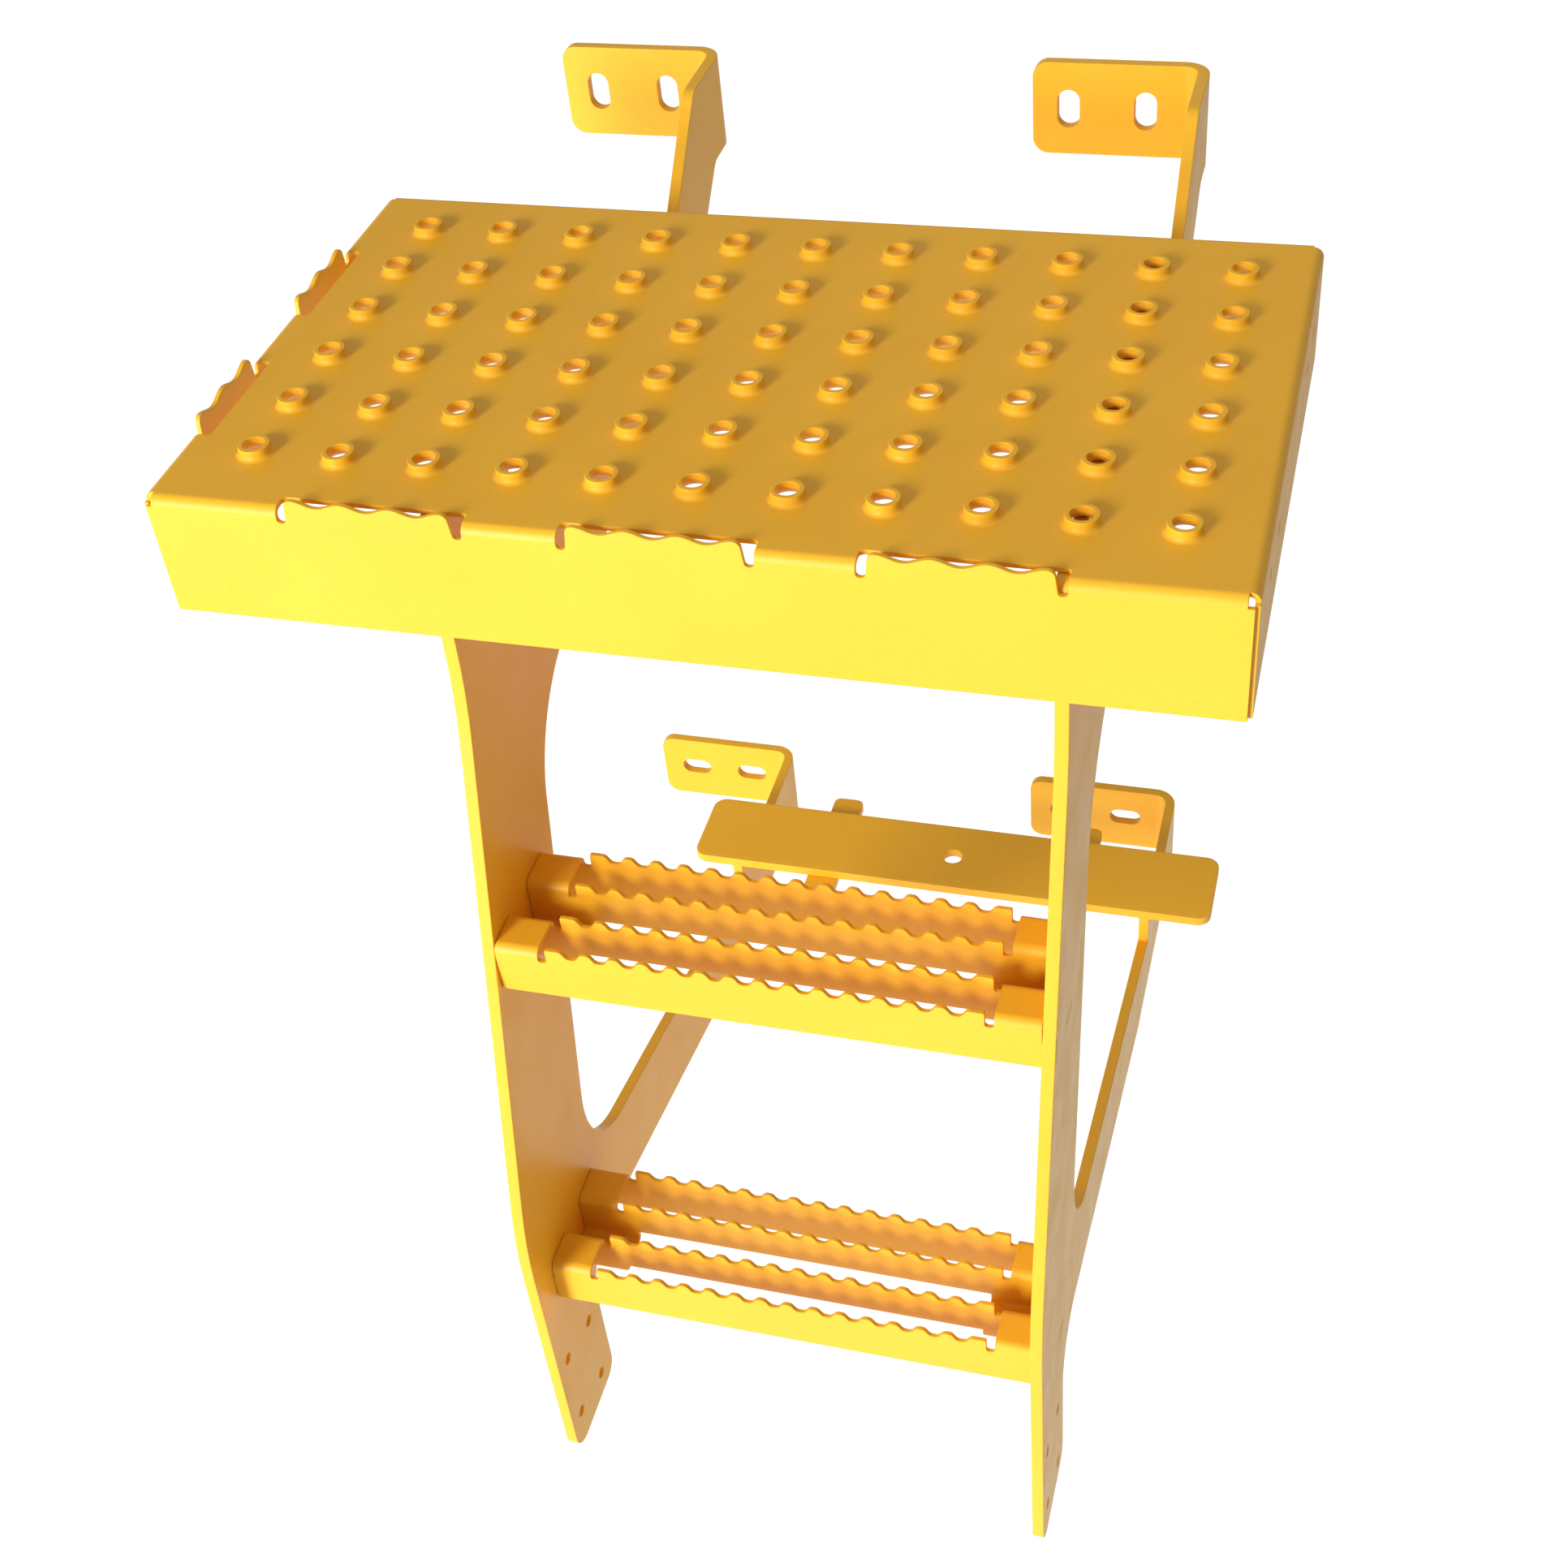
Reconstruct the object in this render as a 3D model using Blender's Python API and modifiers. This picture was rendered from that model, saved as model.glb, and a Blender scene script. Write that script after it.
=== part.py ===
"""Bolt-on access step: two bent side plates carry a punched platform, two treads and a rear shelf.

Every length in this file is in millimetres and becomes metres when a mesh is made.
X runs along the platform, Y runs back to the wall that the step is bolted to, Z is up.
The origin is on the back face of the left side plate's upper flange, midway between its slots.
"""
import math

import bmesh
import bpy
from mathutils import Matrix, Vector

MM = 0.001
GAP = 0.3                      # clearance left between pieces that touch

# Side plates: 8 mm plate, bent once at the back for the wall flanges.
PLATE_T = 8.0
PLATE_BEND_R = 14.0            # to the middle of the plate's thickness
LEFT_PLATE_X = 66.0            # middle of the left plate's thickness
PLATE_PITCH = 346.0            # left plate to right plate
FLANGE_Y = -PLATE_T / 2        # middle of the flanges' thickness
BEND_Y = FLANGE_Y - PLATE_BEND_R
UPPER_FLANGE = {"end": -51.6, "low": -33.1, "high": 33.2}
LOWER_FLANGE = {"end": -58.7, "low": -694.6, "high": -630.1}
UPPER_SLOTS = {"centres": (-26.6, 26.6), "height": 0.0, "width": 15.4, "tall": 27.3}
LOWER_SLOTS = {"centres": (-27.2, 26.0), "height": -660.8, "width": 27.2, "tall": 15.5}
FLANGE_CORNER_R = 11.0
LEG_FRONT_Y = -660.9
LEG_REAR_Y = -582.9
LEG_FOOT_Z = -755.4
FOOT_HOLE_R = 4.5
FOOT_HOLES = ((-604.2, -668.0), (-644.4, -657.1), (-604.2, -735.1), (-644.4, -724.2))
WINDOW = {"front": -462.0, "rear": -312.0, "low": -78.0, "high": -4.0, "radius": 14.0}

# Platform: 3 mm sheet folded down on all four sides.
SHEET_T = 3.0
FOLD_R = 4.5                   # to the middle of the sheet's thickness
DECK_X = (-101.7, 509.4)
DECK_Y = (-572.0, -214.4)
DECK_TOP = 19.1
SKIRT_Z = -58.4                # bottom of the four skirts
CORNER_LAP = 0.6               # the front and rear skirts' ends cover this much of the end skirts
RIM_COLUMNS = 11
RIM_ROWS = 6
RIM_PITCH = 52.0
FIRST_RIM = (-54.0, -520.8)
RIM_R = 7.9                    # collar radius, to the middle of the sheet
RIM_FLARE = 4.4
RIM_TOP = 25.3
RIM_SIDES = 8
CLEAT_PITCH = 29.2             # one wave of a raised cleat
CLEAT_MEAN_Z = 23.4
CLEAT_WAVE = 1.85
CLEAT_SLOT_W = 5.0
CLEAT_SLOT_Z = 10.0            # bottom of the slots beside a cleat
CLEAT_CUT = 12.0               # the sheet is cut back this far from the skirt's outer face
CLEAT_END = 10.7               # from the last trough to the slot's outer wall
FRONT_CLEATS = {"centres": (35.5, 198.3, 361.1), "troughs": 3}
LEFT_CLEATS = {"centres": (-467.2, -332.0), "troughs": 2}
RAIL_HOLE_R = 4.5
RAIL_HOLES = ((-508.6, -11.3), (-465.9, -11.3), (-307.3, -11.3), (-265.7, -11.3))

# Treads: one 3 mm sheet each, folded to two upturned channels joined by a valley at both ends.
TREAD_FRONT = {"upper_tread": (-608.7, -268.7), "lower_tread": (-635.8, -556.5)}
WALL_OFFSETS = (1.5, 29.5, 58.5, 86.5)     # middles of the four walls behind the front face
TREAD_DEEP = 36.7
PAD_LENGTH = 28.0
VALLEY_LENGTH = 41.9
INNER_WALL_LOW = -26.8         # bottom of the two inner walls between the valleys
RELIEF_W = 5.4
RELIEF_DEEP = 8.3
TOOTH_PITCH = 18.25
TOOTH_TROUGHS = 14
TOOTH_WAVE = 2.8
TOOTH_SAMPLES = 6
WALL_TAB = {"low": -30.0, "high": -15.0}
VALLEY_TAB = {"front": 36.0, "rear": 52.0}

# Shelf at the back, its two cross bars, and the plate that ties the side plates together.
SHELF_X = (29.7, 465.1)
SHELF_Y = (-182.9, -110.7)
SHELF_TOP = -598.9
SHELF_CORNER_R = 11.0
SHELF_HOLE_R = 8.0
BAR_WIDTH = 25.5
BAR_LEFT_EDGES = {"shelf_bar_left": 129.6, "shelf_bar_right": 338.1}
BAR_Y = (-215.0, -83.7)
BAR_CORNER_R = 6.0
TIE_Y = -230.0                 # middle of the tie plate's thickness
TIE_Z = (-84.0, 9.5)

YELLOW = (0.83, 0.42, 0.02, 1.0)
COAT_ROUGHNESS = 0.42


def clear_scene():
    for obj in list(bpy.data.objects):
        bpy.data.objects.remove(obj, do_unlink=True)


def plane(across, up, normal_offset):
    """Matrix that lays drawing axes (a, b) on two world axes, at an offset along the third."""
    axes = {"X": Vector((1, 0, 0)), "Y": Vector((0, 1, 0)), "Z": Vector((0, 0, 1))}
    third = ({"X", "Y", "Z"} - {across, up}).pop()
    matrix = Matrix.Identity(4)
    matrix.col[0][:3] = axes[across]
    matrix.col[1][:3] = axes[up]
    matrix.col[2][:3] = axes[across].cross(axes[up])
    matrix.col[3][:3] = axes[third] * normal_offset * MM
    return matrix


def rounded(corners, step=15.0):
    """Closed outline through corners (a, b, radius), each corner rounded by its own radius."""
    points = []
    for i, (a, b, radius) in enumerate(corners):
        here = Vector((a, b))
        if radius == 0:
            points.append((a, b))
            continue
        back = (Vector(corners[i - 1][:2]) - here).normalized()
        ahead = (Vector(corners[(i + 1) % len(corners)][:2]) - here).normalized()
        half = back.angle(ahead) / 2
        centre = here + (back + ahead).normalized() * radius / math.sin(half)
        spoke = here + back * radius / math.tan(half) - centre
        turn = math.pi - 2 * half
        if back.x * ahead.y - back.y * ahead.x > 0:
            turn = -turn
        steps = max(3, math.ceil(abs(turn) / math.radians(step)))
        for k in range(steps + 1):
            angle = turn * k / steps
            c, s = math.cos(angle), math.sin(angle)
            points.append((centre.x + spoke.x * c - spoke.y * s, centre.y + spoke.x * s + spoke.y * c))
    return points


def circle(a, b, radius, sides=16):
    turns = [2 * math.pi * (k + 0.5) / sides for k in range(sides)]
    return [(a + radius * math.cos(t), b + radius * math.sin(t)) for t in turns]


def box_outline(a0, a1, b0, b1, radius=0.0, step=15.0):
    return rounded([(a0, b0, radius), (a1, b0, radius), (a1, b1, radius), (a0, b1, radius)], step)


def slot(a, b, width, tall):
    radius = min(width, tall) / 2 - 0.01
    return box_outline(a - width / 2, a + width / 2, b - tall / 2, b + tall / 2, radius, 30.0)


def add_flat(bm, loops, place):
    """Fill a flat outline with its holes and add it to bm."""
    curve = bpy.data.curves.new("outline", "CURVE")
    curve.dimensions = "2D"
    curve.fill_mode = "BOTH"
    for loop in loops:
        spline = curve.splines.new("POLY")
        spline.points.add(len(loop) - 1)
        for point, (a, b) in zip(spline.points, loop):
            point.co = (a * MM, b * MM, 0.0, 1.0)
        spline.use_cyclic_u = True
    holder = bpy.data.objects.new("outline", curve)
    bpy.context.scene.collection.objects.link(holder)
    graph = bpy.context.evaluated_depsgraph_get()
    mesh = bpy.data.meshes.new_from_object(holder.evaluated_get(graph))
    face = bmesh.new()
    face.from_mesh(mesh)
    bmesh.ops.beautify_fill(face, faces=face.faces, edges=face.edges)
    face.to_mesh(mesh)
    face.free()
    mesh.transform(place)
    bm.from_mesh(mesh)
    bpy.data.meshes.remove(mesh)
    bpy.data.objects.remove(holder)
    bpy.data.curves.remove(curve)


def add_fold(bm, start, end, centre, axis, angle, steps=3):
    """Sweep the edge start-end about an axis through centre, as a press brake folds sheet."""
    verts = [bm.verts.new(Vector(p) * MM) for p in (start, end)]
    edge = bm.edges.new(verts)
    bmesh.ops.spin(bm, geom=verts + [edge], cent=Vector(centre) * MM, axis=axis,
                   angle=math.radians(angle), steps=steps)


def coat(name):
    material = bpy.data.materials.new(name + "_coat")
    material.use_nodes = True
    shader = material.node_tree.nodes["Principled BSDF"]
    shader.inputs["Base Color"].default_value = YELLOW
    shader.inputs["Roughness"].default_value = COAT_ROUGHNESS
    shader.inputs["Metallic"].default_value = 0.0
    return material


def sheet_object(name, bm, thickness, collection):
    """Weld the middle surface in bm and give it its thickness."""
    bmesh.ops.remove_doubles(bm, verts=bm.verts, dist=0.00001)
    bmesh.ops.recalc_face_normals(bm, faces=bm.faces)
    mesh = bpy.data.meshes.new(name)
    bm.to_mesh(mesh)
    bm.free()
    mesh.shade_smooth()
    mesh.set_sharp_from_angle(angle=math.radians(30))
    mesh.materials.append(coat(name))
    obj = bpy.data.objects.new(name, mesh)
    collection.objects.link(obj)
    solid = obj.modifiers.new("thickness", "SOLIDIFY")
    solid.thickness = thickness * MM
    solid.offset = 0.0
    return obj


def plate_profile():
    """Side plate seen from the right: front leg, upper arm to the wall, lower arm to the wall."""
    top = DECK_TOP - SHEET_T - GAP
    front = DECK_Y[0] + SHEET_T + GAP
    notch = DECK_Y[1] - SHEET_T - GAP
    arm_low = SKIRT_Z - 3.6
    shelf_under = SHELF_TOP - PLATE_T - GAP
    return rounded([
        (front, top, 2 * FOLD_R),
        (front, -100.6, 300),
        (LEG_FRONT_Y, -505.8, 300),
        (LEG_FRONT_Y, LEG_FOOT_Z, 18),
        (LEG_REAR_Y, LEG_FOOT_Z, 13),
        (LEG_REAR_Y, -620.4, 38),
        (-225.5, LOWER_FLANGE["low"], 60),
        (BEND_Y, LOWER_FLANGE["low"], 0),
        (BEND_Y, LOWER_FLANGE["high"], 0),
        (-105.0, LOWER_FLANGE["high"], 8),
        (-115.0, shelf_under, 3),
        (-177.8, shelf_under, 1),
        (-177.8, -636.4, 3),
        (-550.8, -554.5, 69),
        (-487.0, -172.4, 100),
        (-140.9, -120.5, 40),
        (-43.0, UPPER_FLANGE["low"], 15),
        (BEND_Y, UPPER_FLANGE["low"], 0),
        (BEND_Y, UPPER_FLANGE["high"], 0),
        (-73.5, UPPER_FLANGE["high"], 15),
        (-168.7, arm_low, 12),
        (notch, arm_low, 3),
        (notch, top, 2 * FOLD_R),
    ])


def tread_slots():
    """Slots in a side plate for the tabs on the ends of both treads."""
    loops = []
    for front, top in TREAD_FRONT.values():
        for offset in (WALL_OFFSETS[0], WALL_OFFSETS[-1]):
            wall = front + offset
            half = SHEET_T / 2 + GAP
            loops.append(box_outline(wall - half, wall + half,
                                     top + WALL_TAB["low"] - GAP, top + WALL_TAB["high"] + GAP))
        floor = top - TREAD_DEEP
        loops.append(box_outline(front + VALLEY_TAB["front"] - GAP, front + VALLEY_TAB["rear"] + GAP,
                                 floor - GAP, floor + SHEET_T + GAP))
    return loops


def side_plate(name, shift, collection):
    bm = bmesh.new()
    loops = [plate_profile()]
    loops += tread_slots()
    loops += [circle(y, z, FOOT_HOLE_R) for y, z in FOOT_HOLES]
    loops.append(box_outline(WINDOW["front"], WINDOW["rear"], WINDOW["low"], WINDOW["high"],
                             WINDOW["radius"]))
    add_flat(bm, loops, plane("Y", "Z", LEFT_PLATE_X + shift))
    bend_x = LEFT_PLATE_X - PLATE_BEND_R + shift
    for flange, slots in ((UPPER_FLANGE, UPPER_SLOTS), (LOWER_FLANGE, LOWER_SLOTS)):
        low, high = flange["low"], flange["high"]
        add_fold(bm, (LEFT_PLATE_X + shift, BEND_Y, low), (LEFT_PLATE_X + shift, BEND_Y, high),
                 (bend_x, BEND_Y, 0), (0, 0, 1), 90, steps=6)
        end = flange["end"] + shift
        face = [rounded([(bend_x, low, 0), (bend_x, high, 0), (end, high, FLANGE_CORNER_R),
                         (end, low, FLANGE_CORNER_R)])]
        face += [slot(x + shift, slots["height"], slots["width"], slots["tall"])
                 for x in slots["centres"]]
        add_flat(bm, face, plane("X", "Z", FLANGE_Y))
    return sheet_object(name, bm, PLATE_T, collection)


def cleat_span(centre, troughs):
    half = troughs * CLEAT_PITCH / 2 + CLEAT_END
    return centre - half, centre + half


def cleat_edge(centre, troughs, samples=6):
    """Top edge of a skirt across one cleat: slot, wavy top, slot."""
    low, high = cleat_span(centre, troughs)
    fold_z = DECK_TOP - SHEET_T / 2 - FOLD_R
    inner = low + CLEAT_SLOT_W
    left = [(low, fold_z), (low, CLEAT_SLOT_Z + 1.0), (low + 1.5, CLEAT_SLOT_Z),
            (inner - 1.5, CLEAT_SLOT_Z), (inner, CLEAT_SLOT_Z + 1.0),
            (inner + 1.0, CLEAT_MEAN_Z - 3.5), (inner + 3.0, CLEAT_MEAN_Z)]
    right = [(low + high - a, b) for a, b in reversed(left)]
    wave = []
    for k in range(samples * troughs + 1):
        periods = k / samples
        a = centre + (periods - troughs / 2) * CLEAT_PITCH
        wave.append((a, CLEAT_MEAN_Z + CLEAT_WAVE * math.cos(2 * math.pi * periods)))
    return left + wave + right


def add_skirt(bm, side):
    """One folded-down side of the platform: its folds, then its flat face with any cleats."""
    reach = SHEET_T / 2 + FOLD_R
    fold_z = DECK_TOP - reach
    mid_z = DECK_TOP - SHEET_T / 2
    along, across = (DECK_X, DECK_Y) if side in ("front", "rear") else (DECK_Y, DECK_X)
    at_low = side in ("front", "left")
    inset = reach if at_low else -reach
    line = across[0 if at_low else 1] + inset
    cleats = {"front": FRONT_CLEATS, "left": LEFT_CLEATS}.get(side, {"centres": (), "troughs": 0})
    spans = [cleat_span(c, cleats["troughs"]) for c in cleats["centres"]]
    stops = [along[0] + reach] + [edge for span in spans for edge in span] + [along[1] - reach]
    for start, end in zip(stops[0::2], stops[1::2]):
        if side in ("front", "rear"):
            angle = 90 if at_low else -90
            add_fold(bm, (start, line, mid_z), (end, line, mid_z), (0, line, fold_z), (1, 0, 0), angle)
        else:
            angle = -90 if at_low else 90
            add_fold(bm, (line, start, mid_z), (line, end, mid_z), (line, 0, fold_z), (0, 1, 0), angle)
    end = SHEET_T + GAP if side in ("left", "right") else SHEET_T - CORNER_LAP
    top = [(along[0] + end, fold_z), (along[0] + reach, fold_z)]
    for centre in cleats["centres"]:
        top += cleat_edge(centre, cleats["troughs"])
    top += [(along[1] - reach, fold_z), (along[1] - end, fold_z)]
    outline = [(top[0][0], SKIRT_Z), (top[-1][0], SKIRT_Z)] + top[::-1]
    loops = [outline]
    if side == "right":
        loops += [circle(y, z, RAIL_HOLE_R, 12) for y, z in RAIL_HOLES]
    face = across[0] + SHEET_T / 2 if at_low else across[1] - SHEET_T / 2
    add_flat(bm, loops, plane("X" if side in ("front", "rear") else "Y", "Z", face))


def rim_centres():
    return [(FIRST_RIM[0] + i * RIM_PITCH, FIRST_RIM[1] + j * RIM_PITCH)
            for i in range(RIM_COLUMNS) for j in range(RIM_ROWS)]


def add_rim(bm, a, b, base_z, flare_steps=2):
    """Drawn collar round one drain hole: a round flare up from the sheet, then a short wall."""
    turn = math.pi / RIM_SIDES
    profile = []
    for k in range(flare_steps + 1):
        angle = math.pi / 2 * k / flare_steps
        profile.append((RIM_R + RIM_FLARE * (1 - math.sin(angle)),
                        base_z + RIM_FLARE * (1 - math.cos(angle))))
    profile.append((RIM_R, RIM_TOP))
    verts = []
    for radius, z in profile:
        place = Vector((a + radius * math.cos(turn), b + radius * math.sin(turn), z)) * MM
        verts.append(bm.verts.new(place))
    edges = [bm.edges.new(pair) for pair in zip(verts, verts[1:])]
    bmesh.ops.spin(bm, geom=verts + edges, cent=Vector((a, b, 0)) * MM, axis=(0, 0, 1),
                   angle=2 * math.pi, steps=RIM_SIDES)


def platform_deck(collection):
    bm = bmesh.new()
    reach = SHEET_T / 2 + FOLD_R
    x0, x1 = DECK_X[0] + reach, DECK_X[1] - reach
    y0, y1 = DECK_Y[0] + reach, DECK_Y[1] - reach
    outline = [(x0, y0)]
    for centre in FRONT_CLEATS["centres"]:
        low, high = cleat_span(centre, FRONT_CLEATS["troughs"])
        cut = DECK_Y[0] + CLEAT_CUT
        outline += [(low, y0), (low, cut), (high, cut), (high, y0)]
    outline += [(x1, y0), (x1, y1), (x0, y1)]
    for centre in reversed(LEFT_CLEATS["centres"]):
        low, high = cleat_span(centre, LEFT_CLEATS["troughs"])
        cut = DECK_X[0] + CLEAT_CUT
        outline += [(x0, high), (cut, high), (cut, low), (x0, low)]
    mid_z = DECK_TOP - SHEET_T / 2
    loops = [outline]
    loops += [circle(a, b, RIM_R + RIM_FLARE, RIM_SIDES) for a, b in rim_centres()]
    add_flat(bm, loops, plane("X", "Y", mid_z))
    for a, b in rim_centres():
        add_rim(bm, a, b, mid_z)
    for side in ("front", "rear", "left", "right"):
        add_skirt(bm, side)
    return sheet_object("platform_deck", bm, SHEET_T, collection)


def tread_ends():
    inner_left = LEFT_PLATE_X + PLATE_T / 2 + GAP
    inner_right = LEFT_PLATE_X + PLATE_PITCH - PLATE_T / 2 - GAP
    return inner_left, inner_right


def toothed_edge():
    """Top edge of a tread wall from pad to pad, heights measured from the top of the pads."""
    left, right = tread_ends()
    middle = (left + right) / 2
    start = left + PAD_LENGTH
    fold_z = -SHEET_T / 2 - FOLD_R
    relief = [(start, fold_z), (start, 1.0 - RELIEF_DEEP), (start + 1.0, -RELIEF_DEEP),
              (start + RELIEF_W - 1.0, -RELIEF_DEEP), (start + RELIEF_W, 1.0 - RELIEF_DEEP),
              (start + RELIEF_W, TOOTH_WAVE - 1.0), (start + RELIEF_W + 1.0, TOOTH_WAVE)]
    teeth = []
    for k in range(TOOTH_TROUGHS * TOOTH_SAMPLES + 1):
        periods = k / TOOTH_SAMPLES
        a = middle + (periods - TOOTH_TROUGHS / 2) * TOOTH_PITCH
        flat = math.tanh(1.6 * math.cos(2 * math.pi * periods)) / math.tanh(1.6)
        teeth.append((a, TOOTH_WAVE * flat))
    mirrored = [(left + right - a, b) for a, b in reversed(relief)]
    return relief + teeth + mirrored


def outer_wall():
    """Front or rear wall of a tread, with the tabs that pass through the side plates."""
    left, right = tread_ends()
    reach = PLATE_T + GAP
    fold_z = -SHEET_T / 2 - FOLD_R
    low, high = WALL_TAB["low"], WALL_TAB["high"]
    bottom = [(left, low), (left, -TREAD_DEEP), (right, -TREAD_DEEP), (right, low)]
    right_tab = [(right + reach, low), (right + reach, high), (right, high), (right, fold_z)]
    left_tab = [(left, fold_z), (left, high), (left - reach, high), (left - reach, low)]
    return bottom + right_tab + toothed_edge()[::-1] + left_tab


def inner_wall():
    left, right = tread_ends()
    fold_z = -SHEET_T / 2 - FOLD_R
    valley_z = -TREAD_DEEP + SHEET_T / 2 + FOLD_R
    bottom = [(left, valley_z), (left + VALLEY_LENGTH, valley_z),
              (left + VALLEY_LENGTH, INNER_WALL_LOW), (right - VALLEY_LENGTH, INNER_WALL_LOW),
              (right - VALLEY_LENGTH, valley_z), (right, valley_z)]
    return bottom + [(right, fold_z)] + toothed_edge()[::-1] + [(left, fold_z)]


def tread(name, collection):
    front, top = TREAD_FRONT[name]
    left, right = tread_ends()
    walls = [front + offset for offset in WALL_OFFSETS]
    bm = bmesh.new()
    for index, wall in enumerate(walls):
        outline = outer_wall() if index in (0, 3) else inner_wall()
        add_flat(bm, [[(a, b + top) for a, b in outline]], plane("X", "Z", wall))
    pad_z = top - SHEET_T / 2
    valley_z = top - TREAD_DEEP + SHEET_T / 2
    for x0, x1, x2 in ((left, left + PAD_LENGTH, left + VALLEY_LENGTH),
                       (right, right - PAD_LENGTH, right - VALLEY_LENGTH)):
        for near, far in ((walls[0], walls[1]), (walls[2], walls[3])):
            y0, y1 = near + FOLD_R, far - FOLD_R
            fold_z = pad_z - FOLD_R
            add_fold(bm, (x0, near, fold_z), (x1, near, fold_z), (0, y0, fold_z), (1, 0, 0), -90)
            add_fold(bm, (x0, y1, pad_z), (x1, y1, pad_z), (0, y1, fold_z), (1, 0, 0), -90)
            add_flat(bm, [[(x0, y0), (x1, y0), (x1, y1), (x0, y1)]], plane("X", "Y", pad_z))
        y0, y1 = walls[1] + FOLD_R, walls[2] - FOLD_R
        fold_z = valley_z + FOLD_R
        add_fold(bm, (x0, walls[1], fold_z), (x2, walls[1], fold_z), (0, y0, fold_z), (1, 0, 0), 90)
        add_fold(bm, (x0, y1, valley_z), (x2, y1, valley_z), (0, y1, fold_z), (1, 0, 0), 90)
        tab_end = x0 + math.copysign(PLATE_T + GAP, x0 - x2)
        tab0, tab1 = front + VALLEY_TAB["front"], front + VALLEY_TAB["rear"]
        floor = [(x0, y0), (x2, y0), (x2, y1), (x0, y1),
                 (x0, tab1), (tab_end, tab1), (tab_end, tab0), (x0, tab0)]
        add_flat(bm, [floor], plane("X", "Y", valley_z))
    return sheet_object(name, bm, SHEET_T, collection)


def flat_plate(name, loops, place, collection):
    bm = bmesh.new()
    add_flat(bm, loops, place)
    return sheet_object(name, bm, PLATE_T, collection)


def shelf(collection):
    outline = box_outline(*SHELF_X, *SHELF_Y, SHELF_CORNER_R)
    hole = circle(sum(SHELF_X) / 2, sum(SHELF_Y) / 2, SHELF_HOLE_R, 24)
    flat_plate("shelf_plate", [outline, hole], plane("X", "Y", SHELF_TOP - PLATE_T / 2), collection)
    bar_z = SHELF_TOP - 1.5 * PLATE_T - GAP
    for name, edge in BAR_LEFT_EDGES.items():
        bar = box_outline(edge, edge + BAR_WIDTH, *BAR_Y, BAR_CORNER_R)
        flat_plate(name, [bar], plane("X", "Y", bar_z), collection)


def tie_plate(collection):
    left, right = tread_ends()
    outline = box_outline(left, right, *TIE_Z)
    flat_plate("rear_tie_plate", [outline], plane("X", "Z", TIE_Y), collection)


def main():
    clear_scene()
    collection = bpy.data.collections.new("access_step")
    bpy.context.scene.collection.children.link(collection)
    side_plate("side_plate_left", 0.0, collection)
    side_plate("side_plate_right", PLATE_PITCH, collection)
    platform_deck(collection)
    for name in TREAD_FRONT:
        tread(name, collection)
    shelf(collection)
    tie_plate(collection)


main()
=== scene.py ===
import math

import bmesh
import bpy
import numpy as np
from mathutils import Matrix, Vector
from mathutils.geometry import delaunay_2d_cdt


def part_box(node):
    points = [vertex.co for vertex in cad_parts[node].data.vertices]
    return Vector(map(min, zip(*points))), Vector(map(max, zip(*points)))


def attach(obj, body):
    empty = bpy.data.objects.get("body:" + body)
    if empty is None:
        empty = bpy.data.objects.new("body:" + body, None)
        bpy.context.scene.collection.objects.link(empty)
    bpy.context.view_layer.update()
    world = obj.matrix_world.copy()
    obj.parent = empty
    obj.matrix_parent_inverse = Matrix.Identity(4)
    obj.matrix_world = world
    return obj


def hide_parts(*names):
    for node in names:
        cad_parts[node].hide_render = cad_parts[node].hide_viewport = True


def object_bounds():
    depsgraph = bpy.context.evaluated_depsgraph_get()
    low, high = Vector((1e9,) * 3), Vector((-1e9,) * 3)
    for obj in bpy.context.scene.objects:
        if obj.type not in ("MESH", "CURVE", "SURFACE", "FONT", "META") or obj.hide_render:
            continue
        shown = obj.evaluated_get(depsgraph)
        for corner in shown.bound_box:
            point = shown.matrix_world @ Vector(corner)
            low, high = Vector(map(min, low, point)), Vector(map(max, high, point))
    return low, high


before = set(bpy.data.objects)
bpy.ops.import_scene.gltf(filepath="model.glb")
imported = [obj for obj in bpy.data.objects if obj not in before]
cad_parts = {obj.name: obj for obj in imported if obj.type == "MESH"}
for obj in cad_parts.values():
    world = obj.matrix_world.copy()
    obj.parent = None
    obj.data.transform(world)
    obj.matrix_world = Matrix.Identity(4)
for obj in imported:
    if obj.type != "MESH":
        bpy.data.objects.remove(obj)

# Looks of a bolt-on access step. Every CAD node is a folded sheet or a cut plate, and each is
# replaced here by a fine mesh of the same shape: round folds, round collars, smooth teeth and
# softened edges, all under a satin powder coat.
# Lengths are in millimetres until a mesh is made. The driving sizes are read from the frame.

MM = 0.001
CAD_LOW, CAD_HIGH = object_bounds()
GAP = 0.3                       # clearance between neighbouring pieces


def span(node, axis):
    """Lowest and highest value of a CAD node along an axis, in millimetres."""
    low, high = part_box(node)
    return low[axis] / MM, high[axis] / MM


X, Y, Z = 0, 1, 2

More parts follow.
